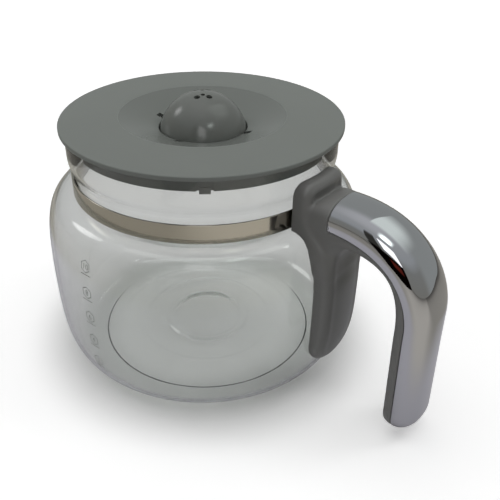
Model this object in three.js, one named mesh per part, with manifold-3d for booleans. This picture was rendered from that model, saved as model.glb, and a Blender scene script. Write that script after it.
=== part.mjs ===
// Glass coffee carafe: a squat bowl with a banded neck, a bent handle and a lid that lifts off.
// Millimetres, +Z up. The origin is the middle of the flat base, and the handle points along +X.
import * as THREE from 'three';
import { mergeVertices } from 'three/addons/utils/BufferGeometryUtils.js';
import Module from 'manifold-3d';

const wasm = await Module();
wasm.setup();

// Fits and facets
const seatGap = 0.3; // between a piece and what it rests on
const turnSteps = 40; // facets round the bowl's axis
const crownSteps = 64; // facets round the handle's crowned faces
const smallTurnSteps = 16; // facets round a screw or a hole
const curveSteps = 7; // straight steps in each free curve
const sideSteps = 4; // steps in the handle's rounded sides
const edgeSteps = 3; // steps in a small rounded edge
const domeSteps = 4; // steps from the dome's foot to its top
const cutPast = 1; // how far a cutter runs past the face it opens
const weldTolerance = 1e-4;

// Glass bowl, blown in one piece
const baseFlatRadius = 54;
const bellyRadius = 72.6;
const bellyHeight = 46; // height of the widest place
const baseCornerPull = 16.5; // how far the curve leaves the base flat
const bellyPull = 34; // how far the curve stays upright below the widest place
const shoulderPull = 24; // how far it stays upright above the widest place
const shoulderReach = 11.5; // how far it runs flat towards the neck
const shoulderHeight = 83;
const shoulderLip = 2; // flat glass outside the band's groove
const neckRadius = 58.2; // glass under the band
const neckFillet = 0.5;
const collarRise = 4.8; // height over which the glass widens above the band
const collarRadius = 59.9;
const rimHeight = 111.6;
const glassWall = 1.6;

// Steel band round the neck, with two ears turned out into the handle
const bandLift = 0.7; // above the shoulder
const bandHeight = 8.4;
const bandThickness = 0.65;
const earBite = 5.5; // how far the ears reach into the handle
const earCornerCut = 0.4; // ears are lower than the band by this at each edge

// Clamp screw and square nut that draw the ears together on the handle's tongue
const tongueWidth = 3.6;
const clampShankRadius = 1.75;
const clampHeadRadius = 3.2;
const clampHeadHeight = 2.2;
const clampNutWidth = 5.8;
const clampNutHeight = 2.6;
const clampPoint = 1.4; // screw beyond the nut
const clampInset = 0.3; // screw nearer to the glass than the middle of the ears

// Shape of every screw, as shares of its own head or shank
const screwTipShare = 0.6;
const headSideShare = 0.5; // straight side of the head
const headDomeReach = 0.7; // where the head's dome flattens out
const headDomeRise = 0.9;
const recessReach = 0.55; // cross recess from middle to end
const recessHalf = 0.13;
const recessFloor = 0.4;

// Handle shield and tail, a strap down the bowl
const strapHalfWidth = 13.4;
const strapTopCorner = 7.5;
const strapBottom = 17; // lowest point above the table
const strapTop = 103.8; // top of the thumb roll
const rollRadius = 4;
const rollStand = 2.4; // middle of the thumb roll outside the seat on the neck
const tailThickness = 8; // outside the belly
const tailCrownRadius = 29; // roundness of the tail across its width
const tailToe = 5; // upward pull of the tail's rounded lower end
const tailFull = 30; // height above its lower end at which the tail is full thickness
const waistThickness = 6.1; // shield outside its seat on the neck
const rollCrownRadius = 32; // roundness of the thumb roll across its width

// Arm and grip, one bent body split along a seam
const armHalfWidth = 12.2;
const armFlatHalf = 3.6; // middle of the section that stays full height
const armEdgeRound = 6.2; // how much the section shrinks towards its sides
const armTop = 99.7;
const armRootTop = 97; // in the valley behind the thumb roll
const armRootReach = 5; // from the roll to where the arm is full height
const archTop = 84; // top of the space for the fingers
const fingerGap = 29.2; // between tail and grip
const gripDepth = 12;
const gripInnerCorner = 6; // rounding of the inner edge at the lower end
const innerFlat = 4.4; // how far the rounded section is cut back to the flat inner face
const gripBottom = 4.4;
const bendStart = 62; // height at which the outside of the grip begins to bend
const bendPull = 16; // how far the outside stays upright above that
const bendTopInset = 13; // how close to the outside the arm's top runs flat
const archStart = 47.4; // height at which the inside of the grip begins to bend
const archPull = 21.5; // how far the inside stays upright above that
const archCrown = 8.8; // from the tail to the highest place of the finger space
const archFlat = 8; // how far the finger space stays high beyond that

// Plated cover over arm and grip
const coverStart = 8.6; // from the thumb roll to where the cover meets the grey arm
const coverWall = 2;
const coreLap = 1; // how far the core under the cover reaches into the grey skin
const coverSeamTop = 89;
const coverSeamReach = 8.4; // how close to the grip the seam runs flat
const coverSeamPull = 28.6; // how far the seam stays upright above the straight grip
const coverSeamDepth = 4.6; // grey strip showing on the grip
const coverScrewHeights = [26, 54];
const coverScrewShank = 1.5;
const coverScrewHead = 3;
const coverScrewHeadHeight = 2;
const coverScrewRecess = 3.4; // head seat below the grip's inner face
const coverBossWall = 1.6;
const coverBossLength = 4;
const coverScrewBite = 3; // screw inside its boss

// Lid: disc with a sunk middle, snap ring below and drip dome in the middle
const lidRadius = 62;
const lidThickness = 1.9;
const lidCrown = 0.7; // rise from the edge to the recess
const recessRadius = 36.8;
const recessDepth = 5.7;
const hubHeight = 4.2;
const hubWall = 1.6;
const drainCount = 4;
const drainTurn = 14; // degrees from the handle to the first drain
const drainWidth = 3.2;
const drainLength = 3.6; // outwards from the hole for the dome
const domeRadius = 19.4;
const domeWall = 1.6;
const domeFlangeHeight = 1.4;
const ventPairs = [ // degrees from the handle, distance from the axis, radius; each has one opposite
  { turn: -74, ring: 5.2, radius: 1.35 },
  { turn: -14, ring: 5.2, radius: 1.35 },
  { turn: -44, ring: 3, radius: 0.95 },
];
const ventSteps = 10; // facets round a vent
const ribRadius = 46; // ring under the disc that centres the snap ring
const ribWall = 1.5;
const ribDepth = 2.4;
const skirtPlay = 0.7; // between the snap ring and the glass
const skirtWall = 1.9;
const skirtFlange = 1.6;
const skirtDepth = 5.7;
const tabCount = 4;
const tabTurn = -47; // degrees from the handle to the first tab
const tabWidth = 4.3;
const tabSlit = 1;
const tabReach = 0.7; // tab below the rest of the ring
const tabNib = 0.4; // tab outside the rest of the ring
const tabNibHeight = 1.9;

// Places that follow from the sizes above
const bandBottom = shoulderHeight + bandLift;
const bandTop = bandBottom + bandHeight;
const bandMiddle = (bandBottom + bandTop) / 2;
const bandInside = neckRadius + seatGap;
const bandOutside = bandInside + bandThickness;
const neckInside = collarRadius - glassWall;
const neckSeat = Math.max(collarRadius, bandOutside) + seatGap;
const rollOutside = neckSeat + rollStand + rollRadius;
const coverFront = rollOutside + coverStart;
const tailOutside = bellyRadius + tailThickness;
const gripInside = tailOutside + fingerGap;
const gripOutside = gripInside + gripDepth;
const lidUnderside = rimHeight + seatGap;
const lidTopEdge = lidUnderside + lidThickness;
const recessEdge = lidTopEdge + lidCrown;
const dishFloor = recessEdge - recessDepth;
const hubInside = domeRadius + seatGap;
const hubBottom = dishFloor - hubHeight;

// Solids from closed geometry

function solidOf(geometry) {
  const bare = geometry.clone();
  bare.deleteAttribute('normal');
  bare.deleteAttribute('uv');
  const merged = mergeVertices(bare, weldTolerance);
  const index = merged.index.array;
  const corners = [];
  for (let i = 0; i < index.length; i += 3) {
    const [a, b, c] = [index[i], index[i + 1], index[i + 2]];
    if (a !== b && b !== c && c !== a) corners.push(a, b, c);
  }
  return new wasm.Manifold(new wasm.Mesh({
    numProp: 3,
    vertProperties: new Float32Array(merged.attributes.position.array),
    triVerts: new Uint32Array(corners),
  }));
}

function pieceOf(name, solid, material) {
  const { vertProperties, triVerts } = solid.getMesh();
  const geometry = new THREE.BufferGeometry();
  geometry.setAttribute('position', new THREE.BufferAttribute(vertProperties, 3));
  geometry.setIndex(new THREE.BufferAttribute(triVerts, 1));
  geometry.computeVertexNormals();
  const mesh = new THREE.Mesh(geometry, material);
  mesh.name = name;
  return mesh;
}

// Turned shape about a vertical axis from a profile of (radius, height) points
function turned(points, steps = turnSteps) {
  const geometry = new THREE.LatheGeometry(points, steps);
  geometry.rotateX(Math.PI / 2);
  return solidOf(geometry);
}

function closedProfile(pairs) {
  const points = pairs.map(([r, z]) => new THREE.Vector2(r, z));
  points.push(points[0].clone());
  return points;
}

function block(low, high) {
  const size = high.map((value, i) => value - low[i]);
  const geometry = new THREE.BoxGeometry(...size);
  geometry.translate(...low.map((value, i) => value + size[i] / 2));
  return solidOf(geometry);
}

// Round bar between two points along a main axis
function bar(radius, from, to, steps = smallTurnSteps) {
  const start = new THREE.Vector3(...from);
  const end = new THREE.Vector3(...to);
  const geometry = new THREE.CylinderGeometry(radius, radius, start.distanceTo(end), steps);
  const turn = new THREE.Quaternion().setFromUnitVectors(
    new THREE.Vector3(0, 1, 0), end.clone().sub(start).normalize());
  geometry.applyQuaternion(turn);
  geometry.translate(...start.add(end).multiplyScalar(0.5).toArray());
  return solidOf(geometry);
}

// Side outline in x and z, carried across the handle from one side to the other
function across(shape, halfWidth) {
  const geometry = new THREE.ExtrudeGeometry(shape, {
    depth: 2 * halfWidth, bevelEnabled: false, curveSegments: curveSteps,
  });
  geometry.translate(0, 0, -halfWidth);
  geometry.rotateX(Math.PI / 2);
  return solidOf(geometry);
}

// Outline points moved square to the outline, outwards when the distance is positive
function offsetProfile(points, distance) {
  const last = points.length - 1;
  return points.map((point, i) => {
    const [from, to] = [Math.max(i, 1), Math.min(i, last - 1)];
    const into = points[from].clone().sub(points[from - 1]).normalize();
    const out = points[to + 1].clone().sub(points[to]).normalize();
    const along = into.clone().add(out).normalize();
    const reach = distance / along.dot(into);
    return new THREE.Vector2(point.x + along.y * reach, point.y - along.x * reach);
  });
}

// Glass bowl

function bowlOutside() {
  const path = new THREE.Path();
  const lip = neckRadius + shoulderLip;
  path.moveTo(0, 0);
  path.lineTo(baseFlatRadius, 0);
  path.bezierCurveTo(baseFlatRadius + baseCornerPull, 0,
    bellyRadius, bellyHeight - bellyPull, bellyRadius, bellyHeight);
  path.bezierCurveTo(bellyRadius, bellyHeight + shoulderPull,
    lip + shoulderReach, shoulderHeight, lip, shoulderHeight);
  path.lineTo(neckRadius, shoulderHeight + neckFillet);
  path.lineTo(neckRadius, bandTop);
  path.bezierCurveTo(neckRadius, bandTop + collarRise / 2,
    collarRadius, bandTop + collarRise / 2, collarRadius, bandTop + collarRise);
  path.lineTo(collarRadius, rimHeight - glassWall / 2);
  return path.getPoints(curveSteps);
}

function glassBowl() {
  const outside = bowlOutside();
  const inside = offsetProfile(outside, -glassWall).reverse();
  const rim = new THREE.Path();
  rim.absarc(collarRadius - glassWall / 2, rimHeight - glassWall / 2, glassWall / 2, 0, Math.PI, false);
  const rimPoints = rim.getPoints(edgeSteps).slice(1, -1);
  return turned([...outside, ...rimPoints, ...inside]);
}

// Room that the glass needs, with the gap that the handle keeps to it; the band's groove is bridged
function bowlRoom() {
  const outside = offsetProfile(bowlOutside(), seatGap);
  const top = rimHeight + lidThickness;
  const glass = turned([...outside, new THREE.Vector2(outside.at(-1).x, top), new THREE.Vector2(0, top)]);
  const neck = [[0, bellyHeight], [neckSeat, bellyHeight], [neckSeat, top], [0, top]];
  return glass.add(turned(neck.map(([r, z]) => new THREE.Vector2(r, z))));
}

// Neck band and its clamp

const earInside = tongueWidth / 2 + seatGap;
const earOutside = earInside + bandThickness;
const earRoot = (bandInside + bandOutside) / 2;
const clampCentre = neckSeat + earBite / 2 - clampInset;

function earBox(side, grow) {
  const low = side > 0 ? earInside : -earOutside;
  const high = side > 0 ? earOutside : -earInside;
  return block(
    [earRoot - grow, low - grow, bandBottom + earCornerCut - grow],
    [neckSeat + earBite + grow, high + grow, bandTop - earCornerCut + grow]);
}

function neckBand() {
  const strip = turned(closedProfile([
    [bandInside, bandBottom], [bandOutside, bandBottom], [bandOutside, bandTop], [bandInside, bandTop],
  ]));
  const slot = block(
    [0, -earInside, bandBottom - cutPast], [bandOutside + cutPast, earInside, bandTop + cutPast]);
  const hole = bar(clampShankRadius + seatGap,
    [clampCentre, -earOutside - cutPast, bandMiddle], [clampCentre, earOutside + cutPast, bandMiddle]);
  return strip.subtract(slot).add(earBox(1, 0)).add(earBox(-1, 0)).subtract(hole);
}

// Screw along +Z from its head's seat at zero: domed head above, shank below, cross recess
function screwSolid(headRadius, headHeight, shankRadius, length) {
  const body = turned([
    new THREE.Vector2(0, -length),
    new THREE.Vector2(shankRadius * screwTipShare, -length),
    new THREE.Vector2(shankRadius, -length + shankRadius),
    new THREE.Vector2(shankRadius, 0),
    new THREE.Vector2(headRadius, 0),
    new THREE.Vector2(headRadius, headHeight * headSideShare),
    new THREE.Vector2(headRadius * headDomeReach, headHeight * headDomeRise),
    new THREE.Vector2(0, headHeight),
  ], smallTurnSteps);
  const arm = headRadius * recessReach;
  const half = headRadius * recessHalf;
  const floor = headHeight * recessFloor;
  const cross = block([-arm, -half, floor], [arm, half, headHeight + cutPast])
    .add(block([-half, -arm, floor], [half, arm, headHeight + cutPast]));
  return body.subtract(cross);
}

const nutFar = earOutside + seatGap + clampNutHeight;
const headSeat = earOutside + seatGap;

function clampScrew() {
  const length = headSeat + nutFar + clampPoint;
  return screwSolid(clampHeadRadius, clampHeadHeight, clampShankRadius, length)
    .rotate([-90, 0, 0]).translate([clampCentre, headSeat, bandMiddle]);
}

function clampNut() {
  const half = clampNutWidth / 2;
  const body = block(
    [clampCentre - half, -nutFar, bandMiddle - half],
    [clampCentre + half, -headSeat, bandMiddle + half]);
  const thread = bar(clampShankRadius + seatGap,
    [clampCentre, -nutFar - cutPast, bandMiddle], [clampCentre, -headSeat + cutPast, bandMiddle]);
  return body.subtract(thread);
}

// Handle

// Front view of the strap: a flat-sided tongue with a rounded lower end
function strapOutline() {
  const shape = new THREE.Shape();
  const corner = strapTopCorner;
  shape.moveTo(-strapHalfWidth, strapBottom + strapHalfWidth);
  shape.absarc(0, strapBottom + strapHalfWidth, strapHalfWidth, Math.PI, 2 * Math.PI, false);
  shape.absarc(strapHalfWidth - corner, strapTop - corner, corner, 0, Math.PI / 2, false);
  shape.absarc(-strapHalfWidth + corner, strapTop - corner, corner, Math.PI / 2, Math.PI, false);
  shape.closePath();
  return shape;
}

function strapFront() {
  const geometry = new THREE.ExtrudeGeometry(strapOutline(), {
    depth: gripOutside, bevelEnabled: false, curveSegments: curveSteps,
  });
  geometry.rotateX(Math.PI / 2);
  geometry.rotateZ(Math.PI / 2);
  return solidOf(geometry);
}

// Crowned outside of the strap, turned about an upright line inside the bowl
function strapBody() {
  const crownAxis = tailOutside - tailCrownRadius;
  const waist = neckSeat + waistThickness - crownAxis;
  const path = new THREE.Path();
  path.moveTo(0, strapBottom);
  path.lineTo(tailCrownRadius - tailThickness, strapBottom);
  path.quadraticCurveTo(tailCrownRadius, strapBottom + tailToe,
    tailCrownRadius, strapBottom + tailFull);
  path.lineTo(tailCrownRadius, bellyHeight + shoulderPull / 2);
  path.bezierCurveTo(tailCrownRadius, shoulderHeight - neckFillet, waist, shoulderHeight, waist, bandTop);
  path.lineTo(0, bandTop);
  return turned(path.getPoints(curveSteps), crownSteps).translate([crownAxis, 0, 0]);
}

// Thumb roll along the top of the shield, turned about its own upright line
function thumbRoll() {
  const crownAxis = rollOutside - rollCrownRadius;
  const height = strapTop - rollRadius;
  const path = new THREE.Path();
  path.moveTo(0, bandBottom);
  path.lineTo(rollCrownRadius, bandBottom);
  path.lineTo(rollCrownRadius, height);
  path.absarc(rollCrownRadius - rollRadius, height, rollRadius, 0, Math.PI / 2, false);
  path.lineTo(0, strapTop);
  return turned(path.getPoints(edgeSteps), crownSteps).translate([crownAxis, 0, 0]);
}

// Inner edge of arm and grip from the lower end up to the tail, moved inwards by extra
function followInnerEdge(shape, extra) {
  const inside = gripInside - extra;
  const top = archTop - extra;
  const crown = tailOutside + archCrown;
  shape.lineTo(inside, archStart);
  shape.bezierCurveTo(inside, archStart + archPull, crown + archFlat, top, crown, top);
  shape.quadraticCurveTo(tailOutside, top, tailOutside - seatGap, bendStart - extra);
  shape.lineTo(neckSeat, bendStart - extra);
}

// Side view of arm and grip, deeper than the real one on its inner side
function armOutline() {
  const endRadius = (gripDepth + innerFlat) / 2;
  const shape = new THREE.Shape();
  shape.moveTo(neckSeat, armRootTop);
  shape.lineTo(rollOutside, armRootTop);
  shape.quadraticCurveTo(rollOutside + armRootReach, armTop, coverFront + coverWall, armTop);
  shape.bezierCurveTo(gripOutside - bendTopInset, armTop,
    gripOutside, bendStart + bendPull, gripOutside, bendStart);
  shape.absarc(gripOutside - endRadius, gripBottom + endRadius, endRadius, 0, Math.PI, true);
  followInnerEdge(shape, innerFlat);
  shape.closePath();
  return shape;
}

// Everything on the outer side of the flat inner face
function outsideInnerFace() {
  const far = 2 * gripOutside;
  const shape = new THREE.Shape();
  shape.moveTo(far, gripBottom);
  shape.lineTo(gripInside + gripInnerCorner, gripBottom);
  shape.quadraticCurveTo(gripInside, gripBottom, gripInside, gripBottom + gripInnerCorner);
  followInnerEdge(shape, 0);
  shape.lineTo(neckSeat, far);
  shape.lineTo(far, far);
  shape.closePath();
  return across(shape, 2 * armHalfWidth);
}

// Full body of arm and grip with rounded sides, made smaller all round by the inset
function armBody(inset) {
  const round = armHalfWidth - armFlatHalf - inset;
  const geometry = new THREE.ExtrudeGeometry(armOutline(), {
    depth: 2 * armFlatHalf,
    curveSegments: curveSteps,
    bevelEnabled: true,
    bevelThickness: round,
    bevelSize: armEdgeRound - inset,
    bevelOffset: -armEdgeRound,
    bevelSegments: sideSteps,
  });
  geometry.translate(0, 0, -armFlatHalf);
  geometry.rotateX(Math.PI / 2);
  return solidOf(geometry);
}

// Everything outside the seam between the grey handle and the plated cover
function coverRegion(grow) {
  const far = 2 * gripOutside;
  const seam = gripInside + coverSeamDepth - grow;
  const front = coverFront - grow;
  const top = coverSeamTop - grow;
  const shape = new THREE.Shape();
  shape.moveTo(front, top);
  shape.bezierCurveTo(seam - coverSeamReach, top, seam, archStart + coverSeamPull, seam, archStart);
  shape.lineTo(seam, -far);
  shape.lineTo(far, -far);
  shape.lineTo(far, far);
  shape.lineTo(front, far);
  shape.closePath();
  return across(shape, 2 * armHalfWidth);
}

const screwSeat = gripInside + coverScrewRecess;
const bossRadius = coverScrewShank + seatGap + coverBossWall;
const bossEnd = gripOutside - coverWall - coverBossLength;

function chromeCover() {
  let cover = armBody(0).intersect(coverRegion(0)).subtract(armBody(coverWall));
  for (const z of coverScrewHeights) {
    const boss = bar(bossRadius, [bossEnd, 0, z], [gripOutside - coverWall / 2, 0, z]);
    const pilot = bar(coverScrewShank + seatGap,
      [bossEnd - cutPast, 0, z], [bossEnd + coverScrewBite + seatGap, 0, z]);
    cover = cover.add(boss).subtract(pilot);
  }
  return cover;
}

function handleBody() {
  const strap = strapBody().add(thumbRoll()).intersect(strapFront());
  const skin = armBody(0).intersect(outsideInnerFace()).subtract(coverRegion(seatGap));
  const core = armBody(coverWall + seatGap).intersect(coverRegion(coreLap));
  let handle = strap.add(skin).add(core).subtract(bowlRoom());
  // slots for the ears, pocket for the nut, way in for the clamp screw
  const half = clampNutWidth / 2 + seatGap;
  handle = handle.subtract(earBox(1, seatGap)).subtract(earBox(-1, seatGap));
  handle = handle.subtract(block(
    [bandInside, -nutFar - clampPoint - seatGap, bandMiddle - half],
    [clampCentre + half, -earInside, bandMiddle + half]));
  handle = handle.subtract(bar(clampShankRadius + seatGap,
    [clampCentre, -earOutside, bandMiddle], [clampCentre, earOutside, bandMiddle]));
  handle = handle.subtract(bar(clampHeadRadius + seatGap,
    [clampCentre, earInside, bandMiddle], [clampCentre, 2 * strapHalfWidth, bandMiddle]));
  for (const z of coverScrewHeights) {
    handle = handle
      .subtract(bar(coverScrewHead + seatGap, [gripInside - cutPast, 0, z], [screwSeat, 0, z]))
      .subtract(bar(coverScrewShank + seatGap, [screwSeat - cutPast, 0, z], [bossEnd, 0, z]))
      .subtract(bar(bossRadius + seatGap, [bossEnd - seatGap, 0, z], [gripOutside, 0, z]));
  }
  return handle;
}

function coverScrew(z) {
  const length = bossEnd + coverScrewBite - screwSeat;
  return screwSolid(coverScrewHead, coverScrewHeadHeight, coverScrewShank, length)
    .rotate([0, -90, 0]).translate([screwSeat - seatGap, 0, z]);
}

// Lid

// Copies of a cutter placed round the lid's axis
function aroundLid(cutter, count, firstTurn) {
  const copies = [];
  for (let i = 0; i < count; i += 1) {
    copies.push(cutter.rotate([0, 0, firstTurn + (360 * i) / count]));
  }
  return copies.reduce((all, copy) => all.add(copy));
}

function lidDisc() {
  const slope = recessDepth / (recessRadius - hubInside);
  const drop = lidThickness * Math.hypot(1, slope);
  const coneFoot = recessRadius - (recessEdge - drop - lidUnderside) / slope;
  const hubOutside = hubInside + hubWall;
  const hubJoin = dishFloor + slope * hubWall - drop;
  const disc = turned(closedProfile([
    [hubInside, hubBottom], [hubOutside, hubBottom], [hubOutside, hubJoin], [coneFoot, lidUnderside],
    [ribRadius - ribWall, lidUnderside], [ribRadius - ribWall, lidUnderside - ribDepth],
    [ribRadius, lidUnderside - ribDepth], [ribRadius, lidUnderside],
    [lidRadius, lidUnderside], [lidRadius, lidTopEdge], [recessRadius, recessEdge], [hubInside, dishFloor],
  ]));
  const drain = block(
    [hubInside - cutPast, -drainWidth / 2, hubBottom - cutPast],
    [hubInside + drainLength, drainWidth / 2, recessEdge + cutPast]);
  return disc.subtract(aroundLid(drain, drainCount, drainTurn));
}

function dripDome() {
  const foot = hubBottom - seatGap;
  const flangeRadius = hubInside + hubWall;
  const inside = new THREE.Path();
  inside.absarc(0, hubBottom, domeRadius - domeWall, Math.PI / 2, 0, true);
  const outside = new THREE.Path();
  outside.absarc(0, hubBottom, domeRadius, 0, Math.PI / 2, false);
  const flange = [
    [domeRadius - domeWall, foot - domeFlangeHeight], [flangeRadius, foot - domeFlangeHeight],
    [flangeRadius, foot], [domeRadius, foot],
  ].map(([r, z]) => new THREE.Vector2(r, z));
  const dome = turned([...inside.getPoints(domeSteps), ...flange, ...outside.getPoints(domeSteps)]);
  const vent = (ring, radius) => {
    const lean = THREE.MathUtils.radToDeg(Math.asin(ring / domeRadius));
    return bar(radius, [0, 0, 0], [0, 0, domeRadius + domeWall], ventSteps)
      .rotate([0, lean, 0]).translate([0, 0, hubBottom]);
  };
  return ventPairs.reduce(
    (rest, { turn, ring, radius }) => rest.subtract(aroundLid(vent(ring, radius), 2, turn)), dome);
}

function lidSkirt() {
  const outside = neckInside - skirtPlay;
  const inside = outside - skirtWall;
  const top = lidUnderside - seatGap;
  const bottom = top - skirtDepth;
  const flangeInside = ribRadius + seatGap;
  const ring = turned(closedProfile([
    [flangeInside, top - skirtFlange], [inside, top - skirtFlange], [inside, bottom],
    [outside, bottom], [outside, top], [flangeInside, top],
  ]));
  const slitHigh = top - skirtFlange;
  const slitFrom = tabWidth / 2;
  const slit = block([inside - cutPast, slitFrom, bottom - cutPast],
    [outside + cutPast, slitFrom + tabSlit, slitHigh])
    .add(block([inside - cutPast, -slitFrom - tabSlit, bottom - cutPast],
      [outside + cutPast, -slitFrom, slitHigh]));
  const tab = block(
    [inside + tabNib, -slitFrom, bottom - tabReach], [outside + tabNib, slitFrom, bottom + tabNibHeight]);
  return ring
    .subtract(aroundLid(slit, tabCount, tabTurn))
    .add(aroundLid(tab, tabCount, tabTurn));
}

// Finishes

const clearGlass = new THREE.MeshStandardMaterial({
  color: 0xdfe5e2, roughness: 0.04, metalness: 0, transparent: true, opacity: 0.35,
});
const polishedSteel = new THREE.MeshStandardMaterial({ color: 0x9a948a, roughness: 0.12, metalness: 1 });
const zincSteel = new THREE.MeshStandardMaterial({ color: 0xa9abad, roughness: 0.35, metalness: 1 });
const chromePlate = new THREE.MeshStandardMaterial({ color: 0xc9c9cc, roughness: 0.05, metalness: 1 });
const darkGrey = new THREE.MeshStandardMaterial({ color: 0x565654, roughness: 0.45, metalness: 0 });
const lidGrey = new THREE.MeshStandardMaterial({ color: 0x787b76, roughness: 0.6, metalness: 0 });
const domeGrey = new THREE.MeshStandardMaterial({ color: 0x6c6e6a, roughness: 0.25, metalness: 0 });

const carafe = new THREE.Group();
carafe.add(
  pieceOf('glass_bowl', glassBowl(), clearGlass),
  pieceOf('neck_band', neckBand(), polishedSteel),
  pieceOf('clamp_screw', clampScrew(), zincSteel),
  pieceOf('clamp_nut', clampNut(), zincSteel),
  pieceOf('handle_body', handleBody(), darkGrey),
  pieceOf('chrome_cover', chromeCover(), chromePlate),
  pieceOf('cover_screw_lower', coverScrew(coverScrewHeights[0]), zincSteel),
  pieceOf('cover_screw_upper', coverScrew(coverScrewHeights[1]), zincSteel),
);

const lid = new THREE.Group();
lid.add(
  pieceOf('lid_disc', lidDisc(), lidGrey),
  pieceOf('lid_skirt', lidSkirt(), lidGrey),
  pieceOf('drip_dome', dripDome(), domeGrey),
);
carafe.add(lid);

export default carafe;
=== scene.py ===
import math
from functools import partial
import bmesh
import bpy
import numpy as np
from mathutils import Matrix, Vector


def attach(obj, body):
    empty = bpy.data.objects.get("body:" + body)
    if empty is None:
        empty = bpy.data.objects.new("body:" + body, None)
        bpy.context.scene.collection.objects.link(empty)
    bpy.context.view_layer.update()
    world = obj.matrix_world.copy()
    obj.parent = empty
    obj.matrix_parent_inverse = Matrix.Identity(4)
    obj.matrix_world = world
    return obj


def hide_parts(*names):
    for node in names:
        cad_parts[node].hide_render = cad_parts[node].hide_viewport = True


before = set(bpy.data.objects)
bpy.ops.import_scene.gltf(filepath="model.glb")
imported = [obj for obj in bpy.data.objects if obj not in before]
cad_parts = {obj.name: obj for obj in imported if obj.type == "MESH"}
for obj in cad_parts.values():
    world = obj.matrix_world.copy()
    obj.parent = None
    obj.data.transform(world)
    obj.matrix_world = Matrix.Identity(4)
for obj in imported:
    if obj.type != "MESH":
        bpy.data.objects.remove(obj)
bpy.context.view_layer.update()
mm = 0.001  # all sizes below are millimetres, turned to metres when a mesh is made
mergeGap = 0.001 * mm  # mesh points closer than this become one
tiny = 1e-9
cutPast = 1  # how far a cutting tool stands out of the piece
scene = bpy.context.scene


class Sizes(dict):
    # a dictionary whose values are also read as glass.wall
    __getattr__ = dict.__getitem__


# small helpers for objects, outlines and node trees

def addObject(name, data):
    piece = bpy.data.objects.new(name, data)
    scene.collection.objects.link(piece)
    return piece


def meshFrom(name, points, faces, edges=()):
    mesh = bpy.data.meshes.new(name)
    mesh.from_pydata([tuple(mm * c for c in p) for p in points], edges, faces)
    mesh.update()
    return mesh


def pathObject(name, points):
    edges = [(i, i + 1) for i in range(len(points) - 1)]
    return addObject(name, meshFrom(name, points, [], edges))


def bakedMesh(source):
    ready = source.evaluated_get(bpy.context.evaluated_depsgraph_get())
    return bpy.data.meshes.new_from_object(ready)


def facesOutward(mesh):
    work = bmesh.new()
    work.from_mesh(mesh)
    bmesh.ops.remove_doubles(work, verts=work.verts, dist=mergeGap)
    bmesh.ops.recalc_face_normals(work, faces=work.faces)
    work.to_mesh(mesh)
    work.free()


def smoothed(mesh, sharpDegrees):
    mesh.shade_smooth()
    mesh.set_sharp_from_angle(angle=math.radians(sharpDegrees))


def bezier(start, pullA, pullB, end, steps):
    t = np.linspace(0, 1, steps + 1)[:, None]
    a, b, c, d = (np.array(p, float) for p in (start, pullA, pullB, end))
    return (1 - t) ** 3 * a + 3 * (1 - t) ** 2 * t * b + 3 * (1 - t) * t ** 2 * c + t ** 3 * d


def bend(start, pull, end, steps):
    t = np.linspace(0, 1, steps + 1)[:, None]
    a, b, c = (np.array(p, float) for p in (start, pull, end))
    return (1 - t) ** 2 * a + 2 * (1 - t) * t * b + t ** 2 * c


def arc(centre, radius, fromDegrees, toDegrees, steps):
    turn = np.radians(np.linspace(fromDegrees, toDegrees, steps + 1))
    return np.stack([centre[0] + radius * np.cos(turn), centre[1] + radius * np.sin(turn)], 1)


def joined(*parts):
    points = np.concatenate([np.atleast_2d(np.array(p, float)) for p in parts])
    keep = np.r_[True, np.hypot(*np.diff(points, axis=0).T) > tiny]
    return points[keep]


def rounded(corners, steps=5):
    # closed outline from (x, z, radius) corners, each corner eased by its own radius
    out = []
    for i, (x, z, radius) in enumerate(corners):
        here = np.array([x, z])
        before = np.array(corners[i - 1][:2]) - here
        after = np.array(corners[(i + 1) % len(corners)][:2]) - here
        before, after = before / np.hypot(*before), after / np.hypot(*after)
        half = math.acos(np.clip(before @ after, -1, 1)) / 2
        reach = radius / math.tan(half)
        out.extend(bend(here + before * reach, here, here + after * reach, steps))
    return np.array(out)


def offset(points, distance):
    # open outline moved to its right-hand side
    step = np.diff(points, axis=0)
    step /= np.hypot(step[:, 0], step[:, 1])[:, None]
    into, out = np.vstack([step[:1], step]), np.vstack([step, step[-1:]])
    along = into + out
    along /= np.hypot(along[:, 0], along[:, 1])[:, None]
    reach = distance / np.sum(along * into, axis=1)
    return points + np.stack([along[:, 1] * reach, -along[:, 0] * reach], 1)


def addNode(tree, kind, inputs=None, **settings):
    # an input is a value, a socket, or a node whose first output in use is linked
    node = tree.nodes.new(kind)
    for name, value in settings.items():
        setattr(node, name, value)
    for key, value in (inputs or {}).items():
        if isinstance(value, bpy.types.Node):
            value = next(socket for socket in value.outputs if socket.enabled)
        if isinstance(value, bpy.types.NodeSocket):
            tree.links.new(value, node.inputs[key])
        else:
            node.inputs[key].default_value = value
    return node


def startTree(name, sockets):
    tree = bpy.data.node_groups.new(name, "GeometryNodeTree")
    tree.interface.new_socket("Geometry", in_out="INPUT", socket_type="NodeSocketGeometry")
    for label, kind in sockets.items():
        tree.interface.new_socket(label, in_out="INPUT", socket_type="NodeSocket" + kind)
    tree.interface.new_socket("Geometry", in_out="OUTPUT", socket_type="NodeSocketGeometry")
    add = partial(addNode, tree)
    return tree, add, add("NodeGroupInput").outputs


def endTree(tree, geometry, material):
    add = partial(addNode, tree)
    real = add("GeometryNodeRealizeInstances", {"Geometry": geometry})
    dressed = add("GeometryNodeSetMaterial", {"Geometry": real, "Material": material})
    add("NodeGroupOutput", {"Geometry": dressed})
    return tree


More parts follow.
